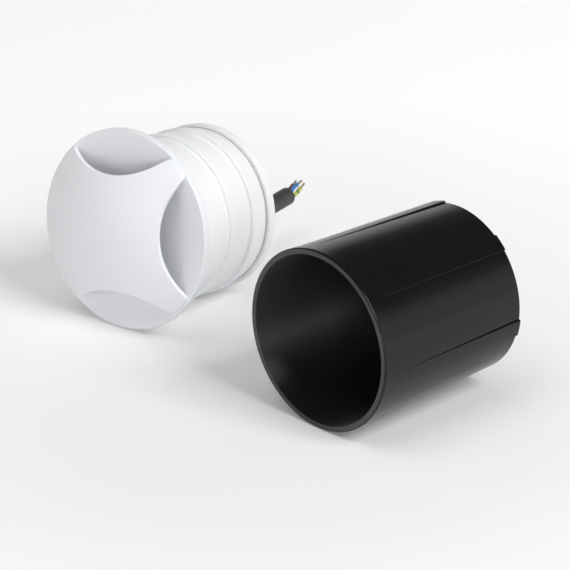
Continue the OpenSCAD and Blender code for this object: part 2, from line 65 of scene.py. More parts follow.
body_mount = next(m for m in frame["record"]["mounts"] if m["name"] == "light_body")
rearwards = Vector(body_mount["axis"]).normalized()
rim_centre = Vector(body_mount["pos_m"]) - rearwards * LAND_Z * MM
across = rearwards.cross(Vector((0, 0, 1))).normalized()
down = rearwards.cross(across)
light_turn = Matrix((across, down, rearwards)).transposed().to_4x4()
light_place = (Matrix.Translation(rim_centre) @ light_turn
               @ Matrix.Rotation(LIGHT_ROLL, 4, "Z") @ Matrix.Scale(MM, 4))
sleeve_place = (Matrix.Rotation(math.radians(-90), 4, "X")
                @ Matrix.Rotation(SLEEVE_ROLL, 4, "Z") @ Matrix.Scale(MM, 4))
print("light's front at", [round(v, 4) for v in light_place.translation])

# %% [markdown]
# The camera stands where the photograph's did: before the sleeve's mouth, to the right of its axis and
# a little above, far away with a long lens, so that parallel edges stay nearly parallel. It is aimed by
# a turn and a pitch at a point near the sleeve's mouth.

# %% Camera
CAMERA_TURN = math.radians(46.29)
CAMERA_PITCH = math.radians(23.51)
CAMERA_DISTANCE = 2.20404
AIM = Vector((-0.02069, 0, 0.02021))
LENS = 315.8
SENSOR = 36

sight = Vector((-math.sin(CAMERA_TURN) * math.cos(CAMERA_PITCH),
                math.cos(CAMERA_TURN) * math.cos(CAMERA_PITCH), -math.sin(CAMERA_PITCH)))
camera_data = bpy.data.cameras.new("photo_camera")
camera_data.lens = LENS
camera_data.sensor_width = SENSOR
camera = bpy.data.objects.new("photo_camera", camera_data)
bpy.context.scene.collection.objects.link(camera)
camera.location = AIM - sight * CAMERA_DISTANCE
camera.rotation_mode = "QUATERNION"
camera.rotation_quaternion = sight.to_track_quat("-Z", "Y")
bpy.context.scene.camera = camera
print("camera at", [round(v, 3) for v in camera.location])

# %% [markdown]
# A material here is one Principled surface. Numbers that are the same all over sit on the shader
# itself. What varies over a real moulding or coat comes from noise on the piece's own coordinates: a
# fine grain, a faint mottle of the colour, and patches that are a little duller or shinier.

# %% Helpers for a material
GRAIN_DEPTH = 0.1 * MM
MOTTLE_SCALE = 60
PATCH_SCALE = 35


def add_node(tree, kind, **inputs):
    """A new shader node, with the numbers of its inputs given by name, _ standing for a space."""
    node = tree.nodes.new("ShaderNode" + kind)
    for name, value in inputs.items():
        node.inputs[name.replace("_", " ")].default_value = value
    return node


def noise_on(tree, place, scale, detail):
    """Noise of this scale over the piece, as an output to link from."""
    noise = add_node(tree, "TexNoise", Scale=scale, Detail=detail)
    tree.links.new(place.outputs["Object"], noise.inputs["Vector"])
    return noise.outputs["Fac"]


def new_material(name, colour, roughness, metallic=0.0, specular=0.5, grain=0.1, grain_size=900,
                 mottle=0.1, uneven=0.0):
    material = bpy.data.materials.new(name)
    material.use_nodes = True
    tree = material.node_tree
    shader = tree.nodes["Principled BSDF"]
    shader.inputs["Base Color"].default_value = (*colour, 1)
    shader.inputs["Roughness"].default_value = roughness
    shader.inputs["Metallic"].default_value = metallic
    shader.inputs["Specular IOR Level"].default_value = specular
    place = add_node(tree, "TexCoord")
    bump = add_node(tree, "Bump", Strength=grain, Distance=GRAIN_DEPTH)
    tree.links.new(noise_on(tree, place, grain_size, 3), bump.inputs["Height"])
    tree.links.new(bump.outputs["Normal"], shader.inputs["Normal"])
    if mottle:
        ramp = add_node(tree, "ValToRGB")
        ramp.color_ramp.elements[0].color = (*[c * (1 - mottle) for c in colour], 1)
        ramp.color_ramp.elements[1].color = (*[min(1, c * (1 + mottle)) for c in colour], 1)
        tree.links.new(noise_on(tree, place, MOTTLE_SCALE, 4), ramp.inputs["Fac"])
        tree.links.new(ramp.outputs["Color"], shader.inputs["Base Color"])
    if uneven:
        patches = add_node(tree, "MapRange", To_Min=roughness - uneven, To_Max=roughness + uneven)
        tree.links.new(noise_on(tree, place, PATCH_SCALE, 5), patches.inputs["Value"])
        tree.links.new(patches.outputs["Result"], shader.inputs["Roughness"])
    return material


# %% [markdown]
# The light is powder-coated white on the cover and moulded white behind, both with a soft sheen. The
# housing's white is a little brighter than the cover's: partly its own moulded white and partly painted
# light, for the key lamp that whitens its side. The sleeve is black plastic with more gloss. Its colour
# is as dark as it is because a gloss adds its own light to it. A lower specular level than usual keeps
# that gloss to the few bands of the photograph.

# %% White coat, white housing and black sleeve
BLACK = (0.0042, 0.0050, 0.0056)

finishes = {}
finishes["white_cover"] = new_material("white_powder_coat", (0.88, 0.892, 0.914), 0.45,
                                       grain_size=1400, mottle=0.008, uneven=0.04)
# The housing's white is set brighter than the cover's: partly its own colour, partly painted light from
# the key lamp on its side.
finishes["white_body"] = new_material("white_housing_with_painted_light", (0.925, 0.933, 0.945), 0.42, grain=0.06,
                                      grain_size=1200, mottle=0.006, uneven=0.04)
finishes["black_plastic"] = new_material("black_moulding", BLACK, 0.22, specular=0.28, grain=0.05,
                                         grain_size=700, mottle=0.15, uneven=0.05)
print("finishes that show most:", len(finishes))

# %% [markdown]
# Inside, the sleeve keeps the fine rings of its turned core. They are too fine to see or to model, but
# they draw a lamp's reflection out into a long streak along the bore, as on brushed metal. So the bore
# has a finish of its own with an anisotropic shine. Its tangent runs round the axis, which is along Y:
# the cross product of a point's place with Y gives that direction, and a quarter turn lays it along.

# %% Stretched shine in the bore
BORE_STRETCH = 0.9

black_bore = new_material("black_bore", BLACK, 0.47, specular=1, grain=0.05, grain_size=700,
                          mottle=0.15)
bore_tree = black_bore.node_tree
bore_shader = bore_tree.nodes["Principled BSDF"]
bore_shader.inputs["Anisotropic"].default_value = BORE_STRETCH
bore_shader.inputs["Anisotropic Rotation"].default_value = 0.25
bore_place = add_node(bore_tree, "TexCoord")
around = add_node(bore_tree, "VectorMath")
around.operation = "CROSS_PRODUCT"
around.inputs[1].default_value = (0, 1, 0)
bore_tree.links.new(bore_place.outputs["Object"], around.inputs[0])
bore_tree.links.new(around.outputs["Vector"], bore_shader.inputs["Tangent"])
print("bore's nodes:", len(bore_tree.nodes))

# %% [markdown]
# What sits inside and behind has the ordinary finishes of such parts: grey rubber seals, grey nylon on
# the gland, frosted glass, zinc screws, cast metal for the heat sink, and the colours of boards and
# wires. A finish is filed under the material slot that the part's record gives it.

# %% Seals, glass and metals
finishes["black_rubber"] = new_material("cable_rubber", (0.040, 0.041, 0.044), 0.5, grain=0.25,
                                        grain_size=1500, mottle=0.2, uneven=0.05)
finishes["seal_rubber"] = new_material("grey_seal", (0.46, 0.465, 0.47), 0.6, grain=0.2)
finishes["grey_nylon"] = new_material("grey_nylon", (0.33, 0.34, 0.35), 0.45, grain=0.15,
                                      mottle=0.05, uneven=0.05)
finishes["frosted_glass"] = new_material("frosted_glass", (0.70, 0.72, 0.72), 0.6, mottle=0.01)
finishes["steel"] = new_material("zinc_plate", (0.62, 0.62, 0.63), 0.28, metallic=1, mottle=0.05,
                                 uneven=0.06)
finishes["bare_aluminium"] = new_material("cast_aluminium", (0.66, 0.67, 0.68), 0.42, metallic=1,
                                          grain=0.3, mottle=0.06)
finishes["brass"] = new_material("turned_brass", (0.78, 0.58, 0.28), 0.25, metallic=1, mottle=0.05)
print("finishes:", len(finishes))

# %% [markdown]
# The lamp board is white, because it has to throw the light forwards, and its chips are yellow from the
# phosphor over them. The driver's board is the usual green. The wires have the colours of a mains lead.

# %% Boards and wires
finishes["white_board"] = new_material("board_white", (0.75, 0.76, 0.74), 0.4, grain=0.05,
                                       mottle=0.03)
finishes["lamp_chip"] = new_material("lamp_phosphor", (0.80, 0.62, 0.12), 0.35, mottle=0.05)
finishes["green_board"] = new_material("board_green", (0.02, 0.16, 0.07), 0.35)
finishes["dark_parts"] = new_material("dark_parts", (0.035, 0.037, 0.042), 0.4)
finishes["white_terminal"] = new_material("terminal_white", (0.72, 0.72, 0.69), 0.45, mottle=0.03)
finishes["red_lead"] = new_material("red_lead", (0.45, 0.03, 0.02), 0.4)
finishes["brown_core"] = new_material("brown_core", (0.17, 0.07, 0.035), 0.42)
finishes["blue_core"] = new_material("blue_core", (0.06, 0.20, 0.50), 0.42)
finishes["earth_core"] = new_material("earth_core", (0.45, 0.50, 0.10), 0.42, mottle=0)
finishes["copper_wire"] = new_material("bare_wire", (0.60, 0.47, 0.36), 0.35, metallic=0.8,
                                       grain=0.2, mottle=0.15)
for subpart in frame["record"]["subparts"]:
    node = frame["nodes"][subpart["node"]]
    node.data.materials.clear()
    node.data.materials.append(finishes[subpart["material_slot"]])

# %% [markdown]
# The earth core is yellow with green stripes. They could be painted on an unwrapped surface, but the
# core is only two millimetres thick: a slanting wave through space, cut hard in two by a ramp, crosses
# it in stripes of the right width.

# %% Two colours on the earth core
STRIPE_SCALE = 170
YELLOW = (0.62, 0.55, 0.10, 1)
GREEN = (0.12, 0.30, 0.08, 1)

earth_tree = finishes["earth_core"].node_tree
earth_place = add_node(earth_tree, "TexCoord")
stripes = add_node(earth_tree, "TexWave", Scale=STRIPE_SCALE)
stripes.wave_type = "BANDS"
stripes.bands_direction = "DIAGONAL"
two_colours = add_node(earth_tree, "ValToRGB")
two_colours.color_ramp.interpolation = "CONSTANT"
two_colours.color_ramp.elements[0].color = YELLOW
two_colours.color_ramp.elements[1].position = 0.55
two_colours.color_ramp.elements[1].color = GREEN
earth_shader = earth_tree.nodes["Principled BSDF"]
earth_tree.links.new(earth_place.outputs["Object"], stripes.inputs["Vector"])
earth_tree.links.new(stripes.outputs["Fac"], two_colours.inputs["Fac"])
earth_tree.links.new(two_colours.outputs["Color"], earth_shader.inputs["Base Color"])
print("earth core's nodes:", len(earth_tree.nodes))

# %% [markdown]
# The cable is a short stub as photographed: 8.6 mm over its rubber jacket, straight out of the gland and
# then bending a little up and to one side. A curve through the same points as the solid's, with a round
# section, is the simplest cord, because its length and its bends can be read from the curve itself.

# %% Cable
CABLE_D = 8.6
GLAND_Y = 12.5
GLAND_END_Z = 75.8
CABLE_PATH = [(0, 0, 0), (0, 0, 4), (0, 0, 8), (-0.2, -0.2, 13), (-0.8, -0.7, 19), (-1.6, -1.4, 26.5),
              (-2.5, -2.4, 35), (-3.4, -3.4, 43.5), (-4.4, -4.4, 52)]
cable_place = light_place @ Matrix.Translation((0, GLAND_Y, GLAND_END_Z))


def add_cord(name, lines, diameter, slot, replaces):
    """A round cord, or several in one piece, each through its own list of points."""
    curve = bpy.data.curves.new(name, "CURVE")
    curve.dimensions = "3D"
    curve.bevel_depth = diameter / 2 * MM
    curve.bevel_resolution = 6 if diameter > 1 else 2
    curve.use_fill_caps = True
    for points in lines:
        spline = curve.splines.new("POLY")
        spline.points.add(len(points) - 1)
        for point, p in zip(spline.points, points):
            point.co = (*(cable_place @ Vector(p)), 1)
        spline.use_smooth = True
    curve.materials.append(finishes[slot])
    cord = bpy.data.objects.new(name, curve)
    bpy.context.scene.collection.objects.link(cord)
    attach(cord, "light")
    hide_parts(*replaces)
    return cord


cable = add_cord("cable_jacket", [CABLE_PATH], CABLE_D, "black_rubber", ["cable"])

# %% [markdown]
# Three cores leave the jacket's end. Their points are measured from that end: sideways, down and
# outwards along the cable. A core bends softly, so each stretch between two points is cut by a curve
# through its neighbours too, which rounds the corners without moving the points.

# %% Stripped cores
CORE_D = 2
CORE_CUTS = 5
CORE_PATHS = {
    "core_brown": [(-1.2, -0.3, 0), (-1.2, -0.3, 1.5), (-1, -1.9, 4.5), (-1.2, -2.9, 8)],
    "core_blue": [(0.85, -0.9, 0), (0.85, -0.9, 1.5), (1, -2.7, 4.8), (1.2, -3.4, 8.4)],
    "core_earth": [(0.45, 1.15, 0), (0.45, 1.15, 1.5), (1.6, 0.5, 5.2), (2, -1.2, 9.4)],
}
CORE_SLOTS = {"core_brown": "brown_core", "core_blue": "blue_core", "core_earth": "earth_core"}
jacket_end, before_end = Vector(CABLE_PATH[-1]), Vector(CABLE_PATH[-2])
out_way = (jacket_end - before_end).normalized()
side_way = Vector((0, 1, 0)).cross(out_way).normalized()
down_way = out_way.cross(side_way)


def at_end(p):
    return jacket_end + p[0] * side_way + p[1] * down_way + p[2] * out_way


def smooth_line(points):
    """The same line with rounded corners: each stretch is cut by a curve through its neighbours."""
    line = []
    for i in range(len(points) - 1):
        p0, p1 = points[max(i - 1, 0)], points[i]
        p2, p3 = points[i + 1], points[min(i + 2, len(points) - 1)]
        for k in range(CORE_CUTS):
            t = k / CORE_CUTS
            line.append(0.5 * (2 * p1 + (p2 - p0) * t + (2 * p0 - 5 * p1 + 4 * p2 - p3) * t ** 2
                               + (3 * p1 - p0 - 3 * p2 + p3) * t ** 3))
    return line + [points[-1]]


core_lines = {name: [at_end(p) for p in path] for name, path in CORE_PATHS.items()}
on_cable = [add_cord(name + "_insulation", [smooth_line(line)], CORE_D, CORE_SLOTS[name], [name])
            for name, line in core_lines.items()]
print("cores:", len(on_cable))

# %% [markdown]
# A stripped end is a bundle of thin wires: six round one, with a little twist left in them. They start
# inside the insulation. All the bare wires are one piece, because they share a finish and a solid.

# %% Bare strands
WIRE_LEN = 4.2
STRAND_D = 0.38
STRAND_AT = 0.36
STRAND_TWIST = 0.35
STRANDS_ROUND = 6
STRAND_STEPS = 4
SUNK = 0.5

strands = []
for line in core_lines.values():
    along = (line[-1] - line[-2]).normalized()
    one = along.orthogonal().normalized()
    two = along.cross(one)
    for k in range(STRANDS_ROUND + 1):
        r = STRAND_AT if k < STRANDS_ROUND else 0
        strand = []
        for t in range(STRAND_STEPS + 1):
            angle = k * 2 * math.pi / STRANDS_ROUND + STRAND_TWIST * t
            strand.append(line[-1] + along * (t * WIRE_LEN / STRAND_STEPS - SUNK)
                          + r * (math.cos(angle) * one + math.sin(angle) * two))
        strands.append(strand)
on_cable.append(add_cord("core_strands", strands, STRAND_D, "copper_wire", ["core_tips"]))
print("strands:", len(strands))

# %% [markdown]
# The floor is white and far wider than the picture. The photograph's is pure white in the open and grey
# only in the shadows. More light would burn out the white cover, so the floor glows a little instead,
# and more so farther out. Only the camera and reflections see the glow, and no matt surface is lit by it.

# %% Floor
FLOOR_Z = -0.0424
FLOOR_SIZE = 6
FLOOR_WHITE = (0.88, 0.88, 0.885, 1)
GLOW_NEAR, GLOW_FAR = 0.10, 0.30
NEAR, FAR = 0.10, 0.40


def white_floor():
    material = bpy.data.materials.new("studio_floor")
    material.use_nodes = True
    tree = material.node_tree
    tree.nodes.clear()
    paint = add_node(tree, "BsdfDiffuse", Color=FLOOR_WHITE)
    glow = add_node(tree, "Emission")
    both = add_node(tree, "AddShader")
    out = add_node(tree, "OutputMaterial")
    tree.links.new(paint.outputs[0], both.inputs[0])
    tree.links.new(glow.outputs[0], both.inputs[1])
    tree.links.new(both.outputs[0], out.inputs["Surface"])

    place = add_node(tree, "TexCoord")
    away = add_node(tree, "VectorMath")
    away.operation = "LENGTH"
    fade = add_node(tree, "MapRange", From_Min=NEAR, From_Max=FAR, To_Min=GLOW_NEAR, To_Max=GLOW_FAR)
    tree.links.new(place.outputs["Object"], away.inputs[0])
    tree.links.new(away.outputs["Value"], fade.inputs["Value"])

    rays = add_node(tree, "LightPath")
    seen = rays.outputs["Is Camera Ray"]
    for kind in ("Is Glossy Ray", "Is Transmission Ray"):
        either = add_node(tree, "Math")
        either.operation = "ADD"
        tree.links.new(seen, either.inputs[0])
        tree.links.new(rays.outputs[kind], either.inputs[1])
        seen = either.outputs[0]
    share = add_node(tree, "Math")
    share.operation = "MULTIPLY"
    tree.links.new(seen, share.inputs[0])
    tree.links.new(fade.outputs["Result"], share.inputs[1])
    tree.links.new(share.outputs[0], glow.inputs["Strength"])
    return material


floor_mesh = bmesh.new()
bmesh.ops.create_grid(floor_mesh, x_segments=1, y_segments=1, size=FLOOR_SIZE)
floor_data = bpy.data.meshes.new("studio_floor")
floor_mesh.to_mesh(floor_data)
floor_mesh.free()
floor = bpy.data.objects.new("studio_floor", floor_data)
floor.location.z = FLOOR_Z
bpy.context.scene.collection.objects.link(floor)
floor_data.materials.append(white_floor())
print("floor at", FLOOR_Z)

# %% [markdown]
# The sky is bright near the horizon and dark overhead, as in a studio with white walls and a black
# ceiling. The black sleeve shows why: its upper half mirrors the ceiling and stays dark, and its lower
# half picks up the walls and the floor. The world reads the direction's height for that.

# %% Sky
HORIZON, OVERHEAD = 0.93, 0.10
HORIZON_TO, OVERHEAD_FROM = 0.22, 0.50

world = bpy.data.worlds.new("studio")
bpy.context.scene.world = world
world.use_nodes = True
sky_tree = world.node_tree
sky = sky_tree.nodes["Background"]
sky.inputs["Color"].default_value = (1, 1, 1, 1)
direction = add_node(sky_tree, "TexCoord")
parts = add_node(sky_tree, "SeparateXYZ")
height = add_node(sky_tree, "MapRange", From_Min=HORIZON_TO, From_Max=OVERHEAD_FROM, To_Min=HORIZON,
                  To_Max=OVERHEAD)
height.interpolation_type = "SMOOTHSTEP"
sky_tree.links.new(direction.outputs["Generated"], parts.inputs["Vector"])
sky_tree.links.new(parts.outputs["Z"], height.inputs["Value"])
sky_tree.links.new(height.outputs["Result"], sky.inputs["Strength"])
bpy.context.scene.view_settings.view_transform = "Standard"
print("sky:", HORIZON, "to", OVERHEAD)

# %% [markdown]
# Three soft lamps light the pieces. The key stands high on the right: it whitens the housing and throws
# the shadows to the left. A wide one overhead fills the floor and the tops, and mirrors leave it out,
# so that it draws no band on the sleeve. A small one stands low beside the camera: it fills the cover,
# and its reflection is the streak in the bore.

# %% Lamps
BETWEEN = (-0.05, 0.05, 0)


def soft_lamp(name, size, power, place, aim, mirrored=True):
    """A square lamp with sides of this size, aimed at a point."""
    lamp = bpy.data.lights.new(name, "AREA")
    lamp.shape = "RECTANGLE"
    lamp.size, lamp.size_y = size, size
    lamp.energy = power
    holder = bpy.data.objects.new(name, lamp)
    bpy.context.scene.collection.objects.link(holder)
    holder.location = place
    holder.rotation_mode = "QUATERNION"
    holder.rotation_quaternion = (Vector(aim) - Vector(place)).to_track_quat("-Z", "Y")
    holder.visible_glossy = mirrored
    print(name, "at", round((Vector(aim) - Vector(place)).length, 2), "m")


soft_lamp("key_lamp", 1.2, 44, (1.85, 0.2, 1.8), BETWEEN)
soft_lamp("top_lamp", 2.4, 28, (-0.3, -0.8, 3.1), BETWEEN, mirrored=False)
soft_lamp("side_lamp", 0.4, 7.5, (1.9, -1.35, 0.28), (-0.02, 0.02, 0))

# %% [markdown]
# Every piece below ends in the same way: its mesh is put in place, its normals point outwards, it
# rides on a body of the part and takes its finish. Faces are shaded smooth, apart from sharp corners,
# and the big faces decide the shading: without that a flat pad shades like its own rounded edge.

# %% Helper that finishes a piece
SHARP_FROM = math.radians(35)


def add_piece(name, bm, place, slot, body, replaces):
    bmesh.ops.remove_doubles(bm, verts=bm.verts, dist=1e-4)
    bmesh.ops.recalc_face_normals(bm, faces=bm.faces)
    bm.transform(place)
    mesh = bpy.data.meshes.new(name)
    bm.to_mesh(mesh)
    bm.free()
    piece = bpy.data.objects.new(name, mesh)
    bpy.context.scene.collection.objects.link(piece)
    mesh.materials.append(finishes[slot])
    mesh.shade_smooth()
    mesh.set_sharp_from_angle(angle=SHARP_FROM)
    even = piece.modifiers.new("even_shading", "WEIGHTED_NORMAL")
    even.keep_sharp = True
    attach(piece, body)
    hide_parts(*replaces)
    print(name, "faces:", len(mesh.polygons))
    return piece


# %% [markdown]
# The front cover has a flange whose floor dips into a square throat with round corners. No lathe makes
# a square hole, so the mesh starts as a square whose corners are rounded. Its edge can then be extruded
# ring by ring to any outline: a helper moves each new corner out or in along its own direction.

# %% The throat's edge
THROAT_HALF = 26.6
THROAT_CORNER = 11
FOLD_Z = 1.2
FOLD_SPREAD = 1.08
FOLD_MOST = 33.2
LONG_SIDE = 5

bowl = bmesh.new()
bmesh.ops.create_grid(bowl, x_segments=1, y_segments=1, size=THROAT_HALF)
bmesh.ops.bevel(bowl, geom=bowl.verts[:], offset=THROAT_CORNER, offset_type="OFFSET", segments=14,
                profile=0.5, affect="VERTICES", material=-1)
long_sides = [e for e in bowl.edges if e.calc_length() > LONG_SIDE]
bmesh.ops.subdivide_edges(bowl, edges=long_sides, cuts=27)
bmesh.ops.delete(bowl, geom=bowl.faces[:], context="FACES_ONLY")
for v in bowl.verts:
    v.co = v.co * min(FOLD_SPREAD, FOLD_MOST / v.co.length)
    v.co.z = FOLD_Z
throat_loop = bowl.edges[:]
print("throat's corners:", len(bowl.verts))

# %% [markdown]
# Three ways to say where the next ring goes are enough for every piece that grows like this: onto a
# circle, to a share of the ring before, or to a share of the throat's own reach. That reach comes from
# the square's straight sides, and near its corners from the arcs that round them.

# %% Helpers that grow a surface ring by ring

def grow(bm, loop, reach, z):
    """Extrude a loop of edges; reach gives a corner's new distance from the axis from its old place."""
    made = bmesh.ops.extrude_edge_only(bm, edges=loop)["geom"]
    corners = {g for g in made if isinstance(g, bmesh.types.BMVert)}
    for v in corners:
        flat = Vector((v.co.x, v.co.y, 0))
        v.co = flat.normalized() * reach(flat)
        v.co.z = z
    return [e for e in bm.edges if e.verts[0] in corners and e.verts[1] in corners]


def to_circle(radius):
    return lambda flat: radius


def to_share(share):
    """A share of the corner's distance in the ring before."""
    return lambda flat: flat.length * share


def throat_reach(flat):
    """How far the throat's edge is from the axis in this direction."""
    way = flat.normalized()
    x, y = abs(way.x), abs(way.y)
    side = THROAT_HALF - THROAT_CORNER
    straight = THROAT_HALF / max(x, y)
    if min(x, y) * straight <= side:
        return straight
    near = side * (x + y)
    return near + math.sqrt(near ** 2 - 2 * side ** 2 + THROAT_CORNER ** 2)


def along_throat(share, most=math.inf):
    """A share of the throat's reach, but no more than most."""
    return lambda flat: min(throat_reach(flat) * share, most)


# %% [markdown]
# From the throat's edge the rings run outwards over the floor and the flange, round its edge, back to
# the collar with its groove for the seal ring, and up inside the collar. The last few make a shallow
# skirt under the floor, hidden behind the plate, which closes the view into the throat as in the
# photograph, and they end where they began. The fold round the throat is the softest edge of all.

# %% Cover: flange, collar and throat
FLANGE_R = 47
FLANGE_T = 3.4
FLANGE_FRONT = 0.6
DISH_R = 36
DISH_Z = 0.34
COLLAR_R = 35.3
COLLAR_IN = 33.5
COLLAR_Z = 9.2
GROOVE_R = 34.4
GROOVE_Z = (5.4, 7.2)
SKIRT_Z = 4.4
SKIRT_GAP = 0.1
SKIRT_RINGS = ((0.57, SKIRT_Z), (0.55, 3.3), (0.80, 2.0))

loop = throat_loop
for radius, z in ((DISH_R, DISH_Z), (FLANGE_R, -FLANGE_FRONT), (FLANGE_R, FLANGE_T),
                  (COLLAR_R, FLANGE_T), (COLLAR_R, GROOVE_Z[0]), (GROOVE_R, GROOVE_Z[0]),
                  (GROOVE_R, GROOVE_Z[1]), (COLLAR_R, GROOVE_Z[1]), (COLLAR_R, COLLAR_Z),
                  (COLLAR_IN, COLLAR_Z), (COLLAR_IN, SKIRT_Z)):
    loop = grow(bowl, loop, to_circle(radius), z)
loop = grow(bowl, loop, along_throat(1.1, COLLAR_IN - SKIRT_GAP), SKIRT_Z)
for share, z in SKIRT_RINGS:
    loop = grow(bowl, loop, along_throat(share), z)
loop = grow(bowl, loop, along_throat(FOLD_SPREAD, FOLD_MOST), FOLD_Z)
bmesh.ops.remove_doubles(bowl, verts=bowl.verts, dist=0.01)
bmesh.ops.recalc_face_normals(bowl, faces=bowl.faces)
print("cover's faces before its edges are broken:", len(bowl.faces))

# %% [markdown]
# A cast and coated cover has no sharp edge, and it is the small roundings that show where one surface
# ends and the next begins. Extruding gives the edges no lasting names, so the ones to round are found
# by the radius and the depth at which they lie.

# %% Cover: broken edges
FOLD_SOFT = 4
FLANGE_EDGE = 0.8
COLLAR_EDGE = 0.3
ON_RING = 0.02


def ring_edges(bm, radius, z):
    """The edges that lie along the circle of this radius at this depth."""
    def on(v):
        return abs(v.co.z - z) < ON_RING and abs(math.hypot(v.co.x, v.co.y) - radius) < ON_RING
    return [e for e in bm.edges if on(e.verts[0]) and on(e.verts[1])]


def soften(bm, edges, size, segments):
    bmesh.ops.bevel(bm, geom=edges, offset=size, offset_type="OFFSET", segments=segments, profile=0.5,
                    affect="EDGES", material=-1)


fold = [e for e in bowl.edges if all(abs(v.co.z - FOLD_Z) < 0.01 for v in e.verts)]
soften(bowl, fold, FOLD_SOFT, 10)
soften(bowl, ring_edges(bowl, FLANGE_R, -FLANGE_FRONT), FLANGE_EDGE, 5)
soften(bowl, ring_edges(bowl, FLANGE_R, FLANGE_T), FLANGE_EDGE, 5)
collar_rims = ring_edges(bowl, COLLAR_R, COLLAR_Z) + ring_edges(bowl, COLLAR_IN, COLLAR_Z)
soften(bowl, collar_rims, COLLAR_EDGE, 3)
add_piece("cover_flange", bowl, light_place, "white_cover", "cover", ["front_cover"])

# %% [markdown]
# The domed plate stands over the flange. Seen from the front it is a disc with three round bites and
# rounded tips between them. The bite's arc and the tip's arc touch, which fixes where they meet: a
# triangle between the disc's centre and the two arcs' centres gives the tip's place.

# %% Cover plate: where its arcs lie
DOME_R = 87
DOME_Z = 71.84
PLATE_R = 46
PLATE_T = 2.0
WINDOW_IN = 27.2
TIP_W = 11.9
TIP_CORNER = 2.5

tip_end = math.radians(45) - TIP_W / 2 / PLATE_R
scoop_d = (PLATE_R ** 2 - WINDOW_IN ** 2) / (2 * (PLATE_R * math.cos(tip_end) - WINDOW_IN))
scoop_r = scoop_d - WINDOW_IN
corner_at = PLATE_R - TIP_CORNER
tip_angle = math.acos((scoop_d ** 2 + corner_at ** 2 - (scoop_r + TIP_CORNER) ** 2)
                      / (2 * scoop_d * corner_at))
tip_centre = Vector((corner_at * math.cos(tip_angle), corner_at * math.sin(tip_angle), 0))
scoop_angle = math.atan2(tip_centre.y, scoop_d - tip_centre.x)
print("scoop radius", round(scoop_r, 2), "at", round(scoop_d, 2))

# %% [markdown]
# An arc needs no list of points: one point, spun about the arc's centre without being copied, leaves a
# chain of edges behind it. Four arcs make one window's outline, which is turned to its three places.

# %% Cover plate: outline


def polar(centre, radius, angle):
    return Vector(centre) + radius * Vector((math.cos(angle), math.sin(angle), 0))


def add_arc(bm, centre, radius, start, turn, steps):
    """A chain of edges along an arc: one point, turned about the centre."""
    point = bm.verts.new(polar(centre, radius, start))
    bmesh.ops.spin(bm, geom=[point], cent=centre, axis=(0, 0, 1), angle=turn, steps=steps)


def join_into(bm, other, place=Matrix()):
    """Add another shape to this one, turned or moved first."""
    other.transform(place)
    mesh = bpy.data.meshes.new("joined")
    other.to_mesh(mesh)
    other.free()
    bm.from_mesh(mesh)
    bpy.data.meshes.remove(mesh)


plate = bmesh.new()
tip_turn = scoop_angle + tip_angle
for place, to_next, steps in ((-1, 90, 6), (0, 90, 6), (1, 180, 60)):
    window = bmesh.new()
    add_arc(window, (tip_centre.x, -tip_centre.y, 0), TIP_CORNER, -tip_angle, tip_turn, 7)
    add_arc(window, (scoop_d, 0, 0), scoop_r, math.pi + scoop_angle, -2 * scoop_angle, 44)
    add_arc(window, tuple(tip_centre), TIP_CORNER, -scoop_angle, tip_turn, 7)
    add_arc(window, (0, 0, 0), PLATE_R, tip_angle, math.radians(to_next) - 2 * tip_angle, steps)
    join_into(plate, window, Matrix.Rotation(math.radians(90 * place), 4, "Z"))
bmesh.ops.remove_doubles(plate, verts=plate.verts, dist=0.02)
print("outline:", len(plate.verts), "corners,", len(plate.edges), "edges")

# %% [markdown]
# The plate's face is that outline shrunk ring by ring to the middle, so that the mesh follows the
# bites and still closes in one point. Then every corner drops onto the dome's sphere. One extrusion,
# dropped onto a smaller sphere, is the back, and the rim takes a narrow rounding that catches the light.

# %% Cover plate: dome
RING_SHARES = (0.94, 0.93, 0.92, 0.9, 0.88, 0.85, 0.82, 0.78, 0.7, 0.55)
RIM_EDGE = 0.25
RIM_FROM = 0.8

loop = plate.edges[:]
for share in RING_SHARES:
    loop = grow(plate, loop, to_share(share), 0)
middle = {v for e in loop for v in e.verts}
bmesh.ops.pointmerge(plate, verts=list(middle), merge_co=(0, 0, 0))
bmesh.ops.recalc_face_normals(plate, faces=plate.faces)


def drop_on_sphere(verts, radius):
    for v in verts:
        v.co.z = DOME_Z - math.sqrt(radius ** 2 - v.co.x ** 2 - v.co.y ** 2)


outer = plate.verts[:]
inner = bmesh.ops.extrude_face_region(plate, geom=plate.faces[:])["geom"]
drop_on_sphere(outer, DOME_R)
drop_on_sphere([g for g in inner if isinstance(g, bmesh.types.BMVert)], DOME_R - PLATE_T)
bmesh.ops.recalc_face_normals(plate, faces=plate.faces)
rim = [e for e in plate.edges if len(e.link_faces) == 2 and e.calc_face_angle() > RIM_FROM]
soften(plate, rim, RIM_EDGE, 3)
add_piece("cover_plate", plate, light_place, "white_cover", "cover", ["front_cover"])

# %% [markdown]
# The other pieces are turned: half of the outline, spun round the axis. The outline is a chain of
# corner points, and chosen corners are rounded by a vertex bevel before the spin, as a lathe tool
# would break an edge. That keeps one short list of real sizes for each piece.

# %% Helpers that turn an outline round the axis
def outline_chain(points, rounds, closed=True):
    """A chain of edges through points (radius, depth), with corner number i rounded by rounds[i]."""
    bm = bmesh.new()
    verts = [bm.verts.new((r, 0, z)) for r, z in points]
    for a, b in zip(verts, verts[1:]):
        bm.edges.new((a, b))
    if closed:
        bm.edges.new((verts[-1], verts[0]))
    for i, size in rounds.items():
        bmesh.ops.bevel(bm, geom=[verts[i]], offset=size, offset_type="OFFSET", segments=5,
                        profile=0.5, affect="VERTICES", material=-1)
    return bm


def spin_outline(bm, steps):
    bmesh.ops.spin(bm, geom=bm.verts[:] + bm.edges[:], cent=(0, 0, 0), axis=(0, 0, 1),
                   angle=2 * math.pi, steps=steps, use_merge=True)


